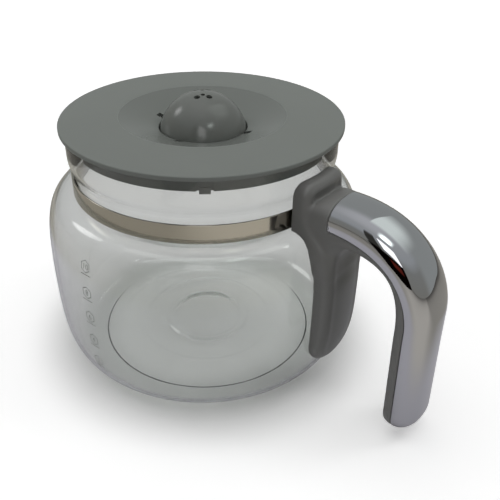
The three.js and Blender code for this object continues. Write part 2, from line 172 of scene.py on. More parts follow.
def runTree(name, source, tree, values):
    modifier = source.modifiers.new("build", "NODES")
    modifier.node_group = tree
    for item in tree.interface.items_tree:
        if item.in_out == "INPUT" and item.name in values:
            modifier[item.identifier] = values[item.name]
    mesh = bakedMesh(source)
    source.modifiers.remove(modifier)
    bpy.data.objects.remove(source)
    return addObject(name, mesh)


def place(piece, body, slot, *nodes):
    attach(piece, body)
    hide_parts(*nodes)
    print("piece", piece.name, "on", body, "with", len(piece.data.polygons), "faces")


# materials

def linear(hexText):
    parts = [int(hexText[i:i + 2], 16) / 255 for i in (0, 2, 4)]
    return [c / 12.92 if c <= 0.04045 else ((c + 0.055) / 1.055) ** 2.4 for c in parts] + [1]


def startMaterial(name):
    material = bpy.data.materials.new(name)
    material.use_nodes = True
    material.node_tree.nodes.clear()
    add = partial(addNode, material.node_tree)
    return material, add, add("ShaderNodeTexCoord").outputs["Object"]


def blownGlass():
    # borosilicate blown into a mould: clear with a faint grey, wall slightly wavy, wiped but not spotless
    look = Sizes(tint="f4f5f4", ior=1.47, waveSize=26, waveHigh=0.3, smearSize=9, lampTint="f8f9f8")
    material, add, coords = startMaterial("blown_borosilicate_glass")
    wave = add("ShaderNodeTexNoise", {"Vector": coords, "Scale": 1 / (look.waveSize * mm), "Detail": 1.0})
    ripple = add("ShaderNodeBump", {"Strength": 0.12, "Distance": look.waveHigh * mm, "Height": wave})
    smear = add("ShaderNodeTexNoise", {"Vector": coords, "Scale": 1 / (look.smearSize * mm), "Detail": 4.0})
    polish = add("ShaderNodeMapRange",
                 {"Value": smear, "From Min": 0.5, "From Max": 0.8, "To Min": 0.0, "To Max": 0.035})
    body = add("ShaderNodeBsdfPrincipled",
               {"Base Color": linear(look.tint), "Roughness": polish, "IOR": look.ior,
                "Transmission Weight": 1.0, "Normal": ripple})
    # lamps reach the inside and the floor through the wall
    path = add("ShaderNodeLightPath")
    through = add("ShaderNodeBsdfTransparent", {"Color": linear(look.lampTint)})
    both = add("ShaderNodeMixShader", {0: path.outputs["Is Shadow Ray"], 1: body, 2: through})
    add("ShaderNodeOutputMaterial", {"Surface": both})
    return material


plastic = Sizes(ior=1.53, flowSize=30, roughnessSwing=0.05, grainDepth=0.5, glossRoughness=0.2,
                glossEdge=0.4)


def moulded(name, colour, darker, roughness, grain, bumpHeight, glossyWithin=0, paintedShadeColour=""):
    # injection-moulded ABS: even colour with slight flow shade, fine spark-eroded grain,
    # smooth and glossier within a radius of the upright axis where one is given, with painted shade
    # darkening the colour there
    p = plastic
    material, add, coords = startMaterial(name)
    flow = add("ShaderNodeTexNoise", {"Vector": coords, "Scale": 1 / (p.flowSize * mm), "Detail": 2.0})
    tone = add("ShaderNodeMix", {0: flow, 6: linear(darker), 7: linear(colour)}, data_type="RGBA")
    tooth = add("ShaderNodeTexNoise",
                {"Vector": coords, "Scale": 1 / (grain * mm), "Detail": 2.0, "Roughness": 0.6})
    wear = add("ShaderNodeMapRange",
               {"Value": flow, "To Min": roughness - p.roughnessSwing,
                "To Max": roughness + p.roughnessSwing})
    shade, finish, depth = tone, wear, p.grainDepth
    if glossyWithin:
        flat = add("ShaderNodeVectorMath", {0: coords, 1: (1, 1, 0)}, operation="MULTIPLY")
        away = add("ShaderNodeVectorMath", {0: flat}, operation="LENGTH")
        depth = add("ShaderNodeMapRange",
                    {"Value": away, "From Min": (glossyWithin - p.glossEdge) * mm,
                     "From Max": (glossyWithin + p.glossEdge) * mm})
        finish = add("ShaderNodeMapRange", {"Value": depth, "To Min": p.glossRoughness, "To Max": wear})
        # painted shade: the glossy middle is given a darker colour than the rest
        shade = add("ShaderNodeMix", {0: depth, 6: linear(paintedShadeColour), 7: tone}, data_type="RGBA")
    relief = add("ShaderNodeBump", {"Strength": depth, "Distance": bumpHeight * mm, "Height": tooth})
    body = add("ShaderNodeBsdfPrincipled",
               {"Base Color": shade, "Roughness": finish, "IOR": p.ior, "Normal": relief})
    add("ShaderNodeOutputMaterial", {"Surface": body})
    return material


def bright(name, colour, roughness, spread, lineSize, stretch=(1, 1, 1)):
    # polished or plated metal: mirror with hairlines too fine to see singly
    material, add, coords = startMaterial(name)
    lie = add("ShaderNodeMapping", {"Vector": coords, "Scale": stretch})
    hair = add("ShaderNodeTexNoise", {"Vector": lie, "Scale": 1 / (lineSize * mm), "Detail": 3.0})
    polish = add("ShaderNodeMapRange", {"Value": hair, "To Min": roughness, "To Max": roughness + spread})
    body = add("ShaderNodeBsdfPrincipled",
               {"Base Color": linear(colour), "Metallic": 1.0, "Roughness": polish})
    add("ShaderNodeOutputMaterial", {"Surface": body})
    return material


def screenInk():
    # ceramic ink printed on the glass: mid grey, thin, slightly patchy
    look = Sizes(colour="9ea09d", darker="868885", speckSize=0.5)
    material, add, coords = startMaterial("fired_screen_ink")
    speck = add("ShaderNodeTexNoise", {"Vector": coords, "Scale": 1 / (look.speckSize * mm), "Detail": 2.0})
    tone = add("ShaderNodeMix", {0: speck, 6: linear(look.darker), 7: linear(look.colour)},
               data_type="RGBA")
    body = add("ShaderNodeBsdfPrincipled", {"Base Color": tone, "Roughness": 0.5})
    add("ShaderNodeOutputMaterial", {"Surface": body})
    return material


glassLook = blownGlass()
handleLook = moulded("satin_grey_abs", "797977", "71716f", roughness=0.42, grain=0.45, bumpHeight=0.02)
# the lid's sunk middle carries painted shade, a darker colour within the glossy radius
lidLook = moulded("matte_grey_abs", "7a7e7a", "747874", roughness=0.55, grain=0.4, bumpHeight=0.02,
                  glossyWithin=36.8, paintedShadeColour="717571")
domeLook = moulded("smooth_grey_abs", "727571", "6c6f6b", roughness=0.16, grain=0.6, bumpHeight=0.004)
chromeLook = bright("bright_chrome_plating", "c4c4c8", roughness=0.02, spread=0.03, lineSize=3.0)
bandLook = bright("polished_stainless_steel", "c8c3b9", roughness=0.05, spread=0.08, lineSize=40.0,
                  stretch=(1, 1, 60))
zincLook = bright("zinc_plated_steel", "b4b6b8", roughness=0.25, spread=0.2, lineSize=1.2)
inkLook = screenInk()
print("materials ready")


# trees for turned pieces, for what repeats round the lid and for strips

def spinTree():
    tree, add, given = startTree("turned_piece", {"Segments": "Int", "Material": "Material"})
    count = add("GeometryNodeAttributeDomainSize", {"Geometry": given["Geometry"]}, component="MESH")
    rows = add("ShaderNodeMath", {0: given["Segments"], 1: 1.0}, operation="ADD")
    grid = add("GeometryNodeMeshGrid", {"Vertices X": count.outputs["Point Count"], "Vertices Y": rows})
    index = add("GeometryNodeInputIndex")
    share = add("ShaderNodeMath", {0: index, 1: rows}, operation="DIVIDE")
    corner = add("ShaderNodeMath", {0: share}, operation="FLOOR")
    step = add("ShaderNodeMath", {0: index, 1: rows}, operation="MODULO")
    turn = add("ShaderNodeMath", {0: step, 1: given["Segments"]}, operation="DIVIDE")
    angle = add("ShaderNodeMath", {0: turn, 1: 2 * math.pi}, operation="MULTIPLY")
    where = add("GeometryNodeInputPosition")
    point = add("GeometryNodeSampleIndex", {"Geometry": given["Geometry"], "Value": where, "Index": corner},
                data_type="FLOAT_VECTOR")
    spun = add("ShaderNodeVectorRotate", {"Vector": point, "Angle": angle}, rotation_type="Z_AXIS")
    moved = add("GeometryNodeSetPosition", {"Geometry": grid, "Position": spun})
    whole = add("GeometryNodeMergeByDistance", {"Geometry": moved, "Distance": 2 * mergeGap})
    return endTree(tree, whole, given["Material"])


def ringTree(operation):
    # copies of one tool round the upright axis, cut from the piece or joined to it
    sockets = {"Tool": "Object", "Count": "Int", "First turn": "Float", "Material": "Material"}
    tree, add, given = startTree("ring_" + operation.lower(), sockets)
    tool = add("GeometryNodeObjectInfo", {"Object": given["Tool"]})
    points = add("GeometryNodePoints", {"Count": given["Count"]})
    index = add("GeometryNodeInputIndex")
    share = add("ShaderNodeMath", {0: index, 1: given["Count"]}, operation="DIVIDE")
    angle = add("ShaderNodeMath", {0: share, 1: 2 * math.pi, 2: given["First turn"]},
                operation="MULTIPLY_ADD")
    turn = add("ShaderNodeCombineXYZ", {"Z": angle})
    ring = add("GeometryNodeInstanceOnPoints",
               {"Points": points, "Instance": tool.outputs["Geometry"], "Rotation": turn})
    real = add("GeometryNodeRealizeInstances", {"Geometry": ring})
    both = add("GeometryNodeMeshBoolean", operation=operation, solver="EXACT")
    first = "Mesh 1" if operation == "DIFFERENCE" else "Mesh 2"
    tree.links.new(given["Geometry"], both.inputs[first])
    tree.links.new(real.outputs["Geometry"], both.inputs["Mesh 2"])
    return endTree(tree, both, given["Material"])


def stripTree():
    # flat strip with eased edges along a path, standing on its edge
    tree, add, given = startTree("strip_on_path", {"Width": "Float", "Thickness": "Float", "Edge": "Float",
                                                   "Material": "Material"})
    path = add("GeometryNodeMeshToCurve", {"Mesh": given["Geometry"]})
    standing = add("GeometryNodeSetCurveNormal", {"Curve": path}, mode="Z_UP")
    section = add("GeometryNodeCurvePrimitiveQuadrilateral",
                  {"Width": given["Thickness"], "Height": given["Width"]})
    eased = add("GeometryNodeFilletCurve", {"Curve": section, "Count": 4, "Radius": given["Edge"]},
                mode="POLY")
    swept = add("GeometryNodeCurveToMesh", {"Curve": standing, "Profile Curve": eased, "Fill Caps": True})
    return endTree(tree, swept, given["Material"])


def copyTree():
    # one copy of a tool at each point of the source
    tree, add, given = startTree("copies_on_points", {"Tool": "Object", "Material": "Material"})
    tool = add("GeometryNodeObjectInfo", {"Object": given["Tool"]})
    points = add("GeometryNodeMeshToPoints", {"Mesh": given["Geometry"]})
    placed = add("GeometryNodeInstanceOnPoints", {"Points": points, "Instance": tool.outputs["Geometry"]})
    return endTree(tree, placed, given["Material"])


spin = spinTree()
ringCut = ringTree("DIFFERENCE")
ringJoin = ringTree("UNION")
strip = stripTree()
copies = copyTree()


def turned(name, outline, segments, material):
    source = pathObject(name + "_outline", [(r, 0, z) for r, z in outline])
    piece = runTree(name, source, spin, {"Segments": segments, "Material": material})
    facesOutward(piece.data)
    return piece


def closed(outline):
    return np.vstack([outline, outline[:1]])


def ringed(piece, tree, tool, count, firstDegrees, material):
    name = piece.name
    piece.name = name + "_plain"
    done = runTree(name, piece, tree, {"Tool": tool, "Count": count,
                                       "First turn": math.radians(firstDegrees), "Material": material})
    bpy.data.objects.remove(tool)
    return done


def boxTool(low, high):
    corners = [(x, y, z) for x in (low[0], high[0]) for y in (low[1], high[1]) for z in (low[2], high[2])]
    faces = [(0, 1, 3, 2), (4, 6, 7, 5), (0, 4, 5, 1), (2, 3, 7, 6), (0, 2, 6, 4), (1, 5, 7, 3)]
    mesh = meshFrom("tool", corners, faces)
    facesOutward(mesh)
    return addObject("tool", mesh)


def rodTool(radius, length, sides):
    outline = [(0, 0), (radius, 0), (radius, length), (0, length)]
    return turned("tool", np.array(outline, float), sides, None)


# glass bowl: standing ring, soft moulded rings inside it, full belly, flat shoulder, grooved neck
# each moulded ring has an inner radius, a width and a height

glass = Sizes(baseFlat=51.7, footReach=1.1, footRise=0.8, belly=72.6, bellyHeight=46, basePull=17.7,
              bellyPull=34, shoulderPull=24, shoulderReach=11.5, shoulder=83, lip=2, neck=58.2,
              neckFillet=0.6, bandTop=92.1, collarRise=9, collar=59.9, rim=111.6, wall=1.6, floor=2.6,
              heelPull=2.2, heelInset=3, kickRadius=42, kickSlope=6, kick=0.3,
              rings=((15.5, 7, 1.2), (31, 4, 0.4)), ringSteps=16, curveSteps=26, collarSteps=14,
              rimSteps=10, smallSteps=8, sharp=60, segments=192)


def glassOutside():
    g = glass
    lip = g.neck + g.lip
    top = g.bandTop + g.collarRise
    middle = g.bandTop + g.collarRise / 2
    foot = g.baseFlat + g.footReach
    edge = g.baseFlat + g.footReach / 2
    return joined(
        bezier((g.baseFlat, 0), (edge, 0), (edge, g.footRise), (foot, g.footRise), g.smallSteps),
        bezier((foot, g.footRise), (foot + g.basePull, g.footRise), (g.belly, g.bellyHeight - g.bellyPull),
               (g.belly, g.bellyHeight), g.curveSteps),
        bezier((g.belly, g.bellyHeight), (g.belly, g.bellyHeight + g.shoulderPull),
               (lip + g.shoulderReach, g.shoulder), (lip, g.shoulder), g.curveSteps),
        bend((lip, g.shoulder), (g.neck, g.shoulder), (g.neck, g.shoulder + g.neckFillet), g.smallSteps),
        bezier((g.neck, g.bandTop), (g.neck, middle), (g.collar, middle), (g.collar, top), g.collarSteps),
        [(g.collar, g.rim - g.wall / 2)])


def glassBowl():
    g = glass
    outside = glassOutside()
    inside = offset(outside, -g.wall)
    wall = inside[inside[:, 1] > g.floor][::-1]
    half = g.wall / 2
    rim = arc((g.collar - half, g.rim - half), half, 0, 180, g.rimSteps)
    heel = bend(wall[-1], (wall[-1][0] - g.heelPull, g.floor), (g.baseFlat - g.heelInset, g.floor),
                g.smallSteps)
    edge, slope = g.kickRadius, g.kickSlope
    under = joined([(0, g.kick)], bezier((edge, g.kick), (edge + slope / 2, g.kick), (edge + slope / 2, 0),
                                         (edge + slope, 0), g.smallSteps))
    share = np.linspace(0, 1, g.ringSteps + 1)
    swell = np.sin(math.pi * share) ** 2
    swells = [np.stack([radius + wide * share, g.floor + high * swell], 1) for radius, wide, high in g.rings]
    bottom = np.vstack([[(0, g.floor)], *swells])
    outline = joined(under, outside, rim, wall, heel, bottom[::-1])
    piece = turned("carafe_glass", outline, g.segments, glassLook)
    smoothed(piece.data, g.sharp)
    place(piece, "carafe", "clear_glass", "glass_bowl")


glassBowl()


# level marks: framed numbers over short lines, printed on the side left of the handle

marks = Sizes(levels={"10": 69, "8": 56.5, "6": 44, "4": 31.5, "2": 19}, azimuth=-90, letter=3.7,
              lineLong=5.6, lineThick=0.4, lineDrop=2.6, lineSteps=16, frameHalf=2.5, frameHigh=3.0,
              frameMiddle=1.3, frameLine=0.32, frameSteps=24, stand=0.04)


def wrapOnGlass(flat, height):
    # flat drawing at (sideways, up) laid on the outside of the bowl at that height
    outside = offset(glassOutside(), marks.stand)
    wall = outside[: int(np.argmin(np.abs(outside[:, 1] - glass.shoulder)))]
    run = np.r_[0, np.cumsum(np.hypot(*np.diff(wall, axis=0).T))]
    along = np.interp(height, wall[:, 1], run) + flat[:, 1]
    radius, z = np.interp(along, run, wall[:, 0]), np.interp(along, run, wall[:, 1])
    turn = math.radians(marks.azimuth) + flat[:, 0] / radius
    return np.stack([radius * np.cos(turn), radius * np.sin(turn), z], 1)


def addStripe(work, sideA, sideB):
    # faces between two rows of flat points
    rows = [[work.verts.new((x, y, 0)) for x, y in side] for side in (sideA, sideB)]
    for i in range(len(sideA) - 1):
        work.faces.new((rows[0][i], rows[0][i + 1], rows[1][i + 1], rows[1][i]))


def addFrame(work):
    half, high = marks.frameHalf, marks.frameHigh
    corners = np.array([(0, high), (half, high / 2), (half, -high / 2), (0, -high), (-half, -high / 2),
                        (-half, high / 2), (0, high)])
    steps = np.linspace(0, len(corners) - 1, marks.frameSteps + 1)
    ring = np.stack([np.interp(steps, range(len(corners)), corners[:, i]) for i in (0, 1)], 1)
    lift = (0, marks.frameMiddle)
    addStripe(work, ring + lift, ring * (1 - marks.frameLine / half) + lift)


def addLine(work):
    x = np.linspace(-marks.lineLong / 2, marks.lineLong / 2, marks.lineSteps + 1)
    low = np.stack([x, np.full(len(x), -marks.lineDrop)], 1)
    addStripe(work, low, low + (0, marks.lineThick))


def levelMarks():
    drawing = bmesh.new()
    for text, height in marks.levels.items():
        curve = bpy.data.curves.new("number", "FONT")
        curve.body, curve.size, curve.align_x = text, marks.letter, "CENTER"
        writer = addObject("number", curve)
        number = bakedMesh(writer)
        bpy.data.objects.remove(writer)
        work = bmesh.new()
        work.from_mesh(number)
        addFrame(work)
        addLine(work)
        bmesh.ops.triangulate(work, faces=work.faces)
        flat = np.array([(v.co.x, v.co.y) for v in work.verts])
        for vertex, point in zip(work.verts, wrapOnGlass(flat, height)):
            vertex.co = Vector(point * mm)
        work.to_mesh(number)
        work.free()
        drawing.from_mesh(number)
    mesh = bpy.data.meshes.new("level_marks")
    drawing.to_mesh(mesh)
    drawing.free()
    mesh.materials.append(inkLook)
    piece = addObject("level_marks", mesh)
    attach(piece, "carafe")
    print("piece level_marks on carafe")


levelMarks()


# steel band: one strip bent round the neck, both ends turned out into the handle

band = Sizes(inside=58.5, thickness=0.65, bottom=83.7, height=8.4, edge=0.16, earMiddle=2.425, earEnd=65.7,
             bendRadius=1.6, bendSteps=8, steps=220, sharp=8)


def neckBand():
    b = band
    radius = b.inside + b.thickness / 2
    z = b.bottom + b.height / 2
    corner = radius + b.bendRadius
    ear = b.earMiddle
    side = ear + b.bendRadius
    start = math.degrees(math.asin(side / corner))
    centreX = corner * math.cos(math.radians(start))
    path = joined([(b.earEnd, ear)], arc((centreX, side), b.bendRadius, 270, 180 + start, b.bendSteps),
                  arc((0, 0), radius, start, 360 - start, b.steps),
                  arc((centreX, -side), b.bendRadius, 180 - start, 90, b.bendSteps), [(b.earEnd, -ear)])
    source = pathObject("band_path", [(x, y, z) for x, y in path])
    piece = runTree("steel_band", source, strip,
                    {"Width": b.height * mm, "Thickness": b.thickness * mm, "Edge": b.edge * mm,
                     "Material": bandLook})
    facesOutward(piece.data)
    smoothed(piece.data, b.sharp)
    place(piece, "carafe", "polished_steel", "neck_band")


neckBand()


# handle: side view shared by the grey moulding and the plated cover

handle = Sizes(neckSeat=60.2, rootTop=97, rollOutside=66.6, rootReach=5, rootDeep=4, top=99.7,
               coverFront=75.2, flatFrom=77.2, outside=121.6, inside=107.9, bottom=4.6, bendStart=62,
               bendPull=16, bendTopInset=13, innerFlat=4.4, archStart=58, archPull=12.5, archTop=83.6,
               tailOutside=80.6, archCrown=4, archFlat=17.3, archSink=3, archEnd=70, innerCorner=7.4,
               seamTop=89.2, seamReach=8.6, seamPull=13.2, seamDepth=4.7, seamGap=0.3, seamEnd=-40,
               gap=0.3, halfWidth=12.5, roundDeep=8.4, squareness=2.3, rootHalf=12.6, rootSquareness=5,
               lean=0.032, leanFrom=75, leanEase=30, archSteps=40, tailSteps=20, bendSteps=60,
               endSteps=40, rootSteps=16, cornerSteps=12)


def gripLean(z):
    # the grip stands slightly outwards towards its lower end, easing in at the bend
    below = np.maximum(handle.leanFrom - z, 0)
    ease = handle.leanEase
    return handle.lean * np.where(below < ease, below ** 2 / (2 * ease), below - ease / 2)


def upright(side):
    # side view with the lean taken out
    return side - np.stack([gripLean(side[:, 1]), np.zeros(len(side))], 1)


def innerEdge(extra):
    # from the straight grip over the finger space and down into the tail
    h = handle
    inside, top = h.inside - extra, h.archTop - extra
    crown = h.tailOutside + h.archCrown
    return joined(bezier((inside, h.archStart), (inside, h.archStart + h.archPull),
                         (crown + h.archFlat, top), (crown, top), h.archSteps),
                  bend((crown, top), (h.tailOutside, top), (h.tailOutside - h.archSink, h.archEnd - extra),
                       h.tailSteps))


def outerBend():
    h = handle
    return bezier((h.flatFrom, h.top), (h.outside - h.bendTopInset, h.top),
                  (h.outside, h.bendStart + h.bendPull), (h.outside, h.bendStart), h.bendSteps)


def gripEnd():
    # radius and middle of the round lower end
    h = handle
    radius = (h.outside - h.inside + h.innerFlat) / 2
    return radius, np.array([h.outside - radius, h.bottom + radius])


def armSide():
    h = handle
    radius, centre = gripEnd()
    back = h.neckSeat - h.rootDeep
    return joined([(back, h.rootTop), (h.rollOutside, h.rootTop)],
                  bend((h.rollOutside, h.rootTop), (h.rollOutside + h.rootReach, h.top), (h.flatFrom, h.top),
                       h.rootSteps),
                  outerBend(), arc(centre, radius, 0, -180, h.endSteps),
                  innerEdge(h.innerFlat), [(back, h.archEnd - h.innerFlat)])


def innerFaceSide():
    h = handle
    far = 2 * h.outside
    back = h.neckSeat - h.rootDeep
    return joined([(far, h.bottom)],
                  bend((h.inside + h.innerCorner, h.bottom), (h.inside, h.bottom),
                       (h.inside, h.bottom + h.innerCorner), h.cornerSteps),
                  innerEdge(0), [(back, h.archEnd), (back, far), (far, far)])


def seamLine():
    h = handle
    seam = h.inside + h.seamDepth
    return joined(bezier((h.coverFront, h.seamTop), (seam - h.seamReach, h.seamTop),
                         (seam, h.archStart + h.seamPull), (seam, h.archStart), h.bendSteps),
                  [(seam, h.seamEnd)])


def sectionHalfWidth(inset):
    h = handle
    rest = np.clip(1 - inset / h.roundDeep, 0, 1)
    return h.halfWidth * (1 - rest ** h.squareness) ** (1 / h.squareness)


# plated cover: rows along the outside of arm and grip, each row a rounded section down to the seam

cover = Sizes(wall=1.6, edge=0.15, edgeSteps=3, edgeDegrees=50, sharp=45, frontRows=4, gripRows=50,
              columns=34, samples=1500)


def depthToLine(point, direction, line):
    # how far along the direction the line is met
    a, b = line[:-1], line[1:]
    span = b - a
    cross = direction[0] * span[:, 1] - direction[1] * span[:, 0]
    to = a - point
    with np.errstate(divide="ignore", invalid="ignore"):
        far = (to[:, 0] * span[:, 1] - to[:, 1] * span[:, 0]) / cross
        share = (to[:, 0] * direction[1] - to[:, 1] * direction[0]) / cross
    good = (share >= -tiny) & (share <= 1 + tiny) & (far >= -tiny)
    return far[good].min() if good.any() else 0.0


def coverRows():
    h, c = handle, cover
    radius, centre = gripEnd()
    lastTurn = math.degrees(math.acos((h.inside + h.seamDepth - centre[0]) / radius))
    front = np.stack([np.linspace(h.coverFront, h.flatFrom, c.frontRows), np.full(c.frontRows, h.top)], 1)
    straight = np.stack([np.full(c.gripRows, h.outside), np.linspace(h.bendStart, centre[1], c.gripRows)], 1)
    points = joined(front, outerBend(), straight, arc(centre, radius, 0, -lastTurn, h.endSteps))
    step = np.gradient(points, axis=0)
    step /= np.hypot(step[:, 0], step[:, 1])[:, None]
    normal = np.stack([-step[:, 1], step[:, 0]], 1)
    normal[:c.frontRows] = (0, 1)
    seam = seamLine()
    depth = np.array([depthToLine(p, -n, seam) for p, n in zip(points, normal)])
    depth[-1] = 0
    return points, normal, depth


def platedCover():
    c = cover
    dense = np.linspace(0, 1, c.samples)
    rows = []
    for point, out, deep in zip(*coverRows()):
        inset = deep * dense ** 2
        half = sectionHalfWidth(inset)
        run = np.r_[0, np.cumsum(np.hypot(np.diff(inset), np.diff(half)))]
        at = np.linspace(0, run[-1], c.columns + 1)
        insetAt, halfAt = np.interp(at, run, inset), np.interp(at, run, half)
        side = [(point[0] - out[0] * i, y, point[1] - out[1] * i) for i, y in zip(insetAt, halfAt)]
        rows.append([(x, -y, z) for x, y, z in side[:0:-1]] + side)
    wide = 2 * c.columns + 1
    points = [(x + gripLean(z), y, z) for row in rows for x, y, z in row]
    faces = [(r * wide + i, r * wide + i + 1, (r + 1) * wide + i + 1, (r + 1) * wide + i)
             for r in range(len(rows) - 1) for i in range(wide - 1)]
    mesh = meshFrom("plated_cover", points, faces)
    facesOutward(mesh)
    if mesh.polygons[len(mesh.polygons) // 2].normal.x < 0:  # an open sheet may come out inside out
        mesh.flip_normals()
    piece = addObject("plated_cover", mesh)
    thick = piece.modifiers.new("wall", "SOLIDIFY")
    thick.thickness, thick.offset, thick.use_even_offset = c.wall * mm, -1, True
    bevel = piece.modifiers.new("edge", "BEVEL")
    bevel.width, bevel.segments = c.edge * mm, c.edgeSteps
    bevel.limit_method, bevel.angle_limit = "ANGLE", math.radians(c.edgeDegrees)
    piece.data = bakedMesh(piece)
    piece.modifiers.clear()
    piece.data.materials.append(chromeLook)
    smoothed(piece.data, c.sharp)
    place(piece, "carafe", "chrome_plate", "chrome_cover")


platedCover()


# grey moulding: thumb roll, shield, tail, arm and inner strip of the grip as one body with soft joins

moulding = Sizes(step=0.5, low=(58, -15.5, 2), high=(124, 15.5, 106), coverFar=400, coverAbove=300,
                 halfWidth=13.6, topCorner=5.5, strapBottom=17, strapTop=104.4, rollRadius=4,
                 rollCrown=32, rollJoin=1.5, rootEase=1.5, tailCrown=29, tailFrom=72.6, tailToe=5,
                 tailFull=30, tailUpright=58, waist=66.3, profileSteps=30, edgeRound=1.8, faceEdge=0.8,
                 creaseHigh=1.4, creaseLow=6.0, creaseFrom=76, creaseTo=84, beadFrom=60, beadTo=80,
                 beadIn=3.3, beadWide=1.7, beadHigh=1.5, ridgeIn=3.6, ridgeWide=1.5, ridgeHigh=0.5,
                 bowlEdge=0.6, screwHeights=(26, 54), screwHole=3.3, screwDeep=3.4, holeEdge=0.4,
                 clampX=62.65, clampZ=87.9, clampHole=3.5, clampFrom=3.05, earHalf=0.7, nutHalf=3.2,
                 nutFrom=2.0, nutTo=7.7, coverEdge=0.3, smoothRounds=6, seamReach=1.5, seamMove=0.1)


def signedDistance(points, polygon):
    # distance from flat points to a closed polygon, negative inside it
    best = np.full(len(points), np.inf)
    inside = np.zeros(len(points), bool)
    for p, q in zip(polygon, np.roll(polygon, -1, axis=0)):
        span = q - p
        to = points - p
        share = np.clip(to @ span / (span @ span), 0, 1)
        best = np.minimum(best, np.hypot(*(to - share[:, None] * span).T))
        crosses = (p[1] > points[:, 1]) != (q[1] > points[:, 1])
        if crosses.any():
            x = p[0] + to[:, 1] * span[0] / span[1]
            inside ^= crosses & (points[:, 0] < x)
    return np.where(inside, -best, best)


def softJoin(a, b, reach):
    blend = np.clip(0.5 + 0.5 * (b - a) / reach, 0, 1)
    return b + (a - b) * blend - reach * blend * (1 - blend)


def softCut(a, b, reach):
    return -softJoin(-a, -b, reach)


def surfaceNet(field, low, step):
    # one point in each cell that the surface passes, one face across each grid edge that it cuts
    inside = field < 0
    cells = np.zeros(tuple(n - 1 for n in field.shape), np.int8)
    corners = [(i, j, k) for i in (0, 1) for j in (0, 1) for k in (0, 1)]
    for corner in corners:
        cells += inside[tuple(slice(c, n - 1 + c) for c, n in zip(corner, field.shape))]
    where = np.argwhere((cells > 0) & (cells < len(corners)))
    number = np.full(cells.shape, -1)
    number[tuple(where.T)] = np.arange(len(where))
    total = np.zeros((len(where), 3))
    count = np.zeros(len(where))
    for a in corners:
        for b in corners:
            if sum(b) - sum(a) != 1 or any(q < p for p, q in zip(a, b)):
                continue
            fa, fb = field[tuple((where + a).T)], field[tuple((where + b).T)]
            cut = (fa < 0) != (fb < 0)
            share = np.where(cut, fa / np.where(cut, fa - fb, 1), 0)
            total += np.where(cut[:, None], np.array(a) + share[:, None] * (np.array(b) - a), 0)
            count += cut
    points = np.array(low) + step * (where + total / count[:, None])
    faces = []
    for axis in range(3):
        u, v = (axis + 1) % 3, (axis + 2) % 3
        ahead = [slice(None)] * 3
        behind = [slice(None)] * 3
        behind[axis], ahead[axis] = slice(0, -1), slice(1, None)
        edges = np.argwhere(inside[tuple(behind)] != inside[tuple(ahead)])
        edges = edges[(edges[:, u] > 0) & (edges[:, v] > 0)]
        outward = inside[tuple(edges.T)]
        ring = []
        for du, dv in ((1, 1), (0, 1), (0, 0), (1, 0)):
            cell = edges.copy()
            cell[:, u] -= du
            cell[:, v] -= dv
            ring.append(number[tuple(cell.T)])
        quad = np.stack(ring, 1)
        faces.append(np.where(outward[:, None], quad, quad[:, ::-1]))
    return points, np.concatenate(faces)


def relax(points, faces, weight, rounds):
    ends = np.concatenate([faces[:, [i, (i + 1) % 4]] for i in range(4)])
    ends = np.concatenate([ends, ends[:, ::-1]])
    count = np.bincount(ends[:, 0], minlength=len(points))
    for _ in range(rounds):
        mean = np.stack([np.bincount(ends[:, 0], points[ends[:, 1], c], len(points)) for c in range(3)], 1)
        points = points + (mean / count[:, None] - points) * (0.5 * weight[:, None])
    return points


